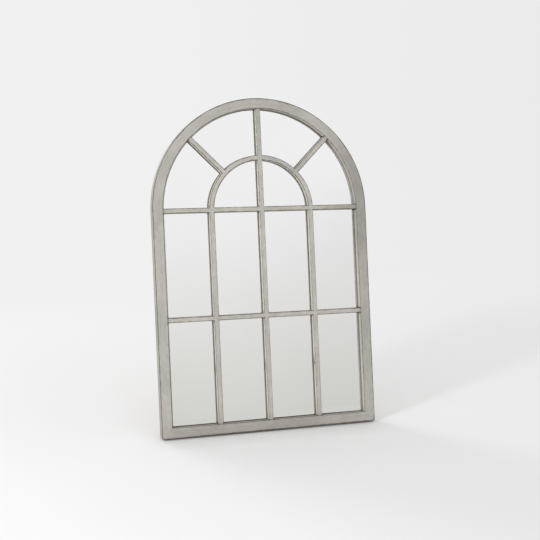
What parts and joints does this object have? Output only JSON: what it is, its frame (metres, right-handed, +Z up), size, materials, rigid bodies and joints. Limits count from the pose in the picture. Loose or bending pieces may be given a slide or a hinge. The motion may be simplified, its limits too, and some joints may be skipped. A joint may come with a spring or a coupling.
{
  "type": "arched mirror",
  "caption": "Arched wall mirror in the style of a paned window: painted wooden frame and glazing bars over one sheet of mirror, with hinged D-ring hangers on its back.",
  "frame": {"origin": "middle of the bottom edge's face, halfway through the frame's depth", "axes": "+X to the right as the viewer sees it, +Y to the wall, +Z up to the crown of the arch"},
  "size_m": [0.6, 0.0365, 0.9],
  "materials": {
    "paint": "distressed silver-grey paint on softwood",
    "silvered_glass": "silvered float glass",
    "hardboard": "smooth brown hardboard",
    "beech": "bare beech",
    "zinc": "zinc-plated steel",
    "rubber": "matt rubber"
  },
  "bodies": {
    "frame": {"stile_left": "paint", "stile_right": "paint", "bottom_rail": "paint", "arch_left": "paint", "arch_crown": "paint", "arch_right": "paint", "frame_dowels": "beech", "glazing_bar_left": "paint", "glazing_bar_center": "paint", "glazing_bar_right": "paint", "crossbar_upper": "paint", "crossbar_lower": "paint", "inner_arch_left": "paint", "inner_arch_right": "paint", "spoke_left": "paint", "spoke_right": "paint", "mirror_glass": "silvered_glass", "backing_board": "hardboard", "glazing_points": "zinc", "hanger_strap_left": "zinc", "hanger_strap_right": "zinc", "hanger_screws": "zinc", "wall_pads": "rubber"},
    "ring_left": {"hanger_ring_left": "zinc"},
    "ring_right": {"hanger_ring_right": "zinc"}
  },
  "joints": [
    {"name": "ring_left_hinge", "type": "hinge", "parent": "frame", "child": "ring_left", "pos_m": [-0.2905, 0.01813, 0.54], "axis": [1, 0, 0], "range_deg": [0, 179]},
    {"name": "ring_right_hinge", "type": "hinge", "parent": "frame", "child": "ring_right", "pos_m": [0.2905, 0.01813, 0.54], "axis": [1, 0, 0], "range_deg": [0, 179]}
  ]
}
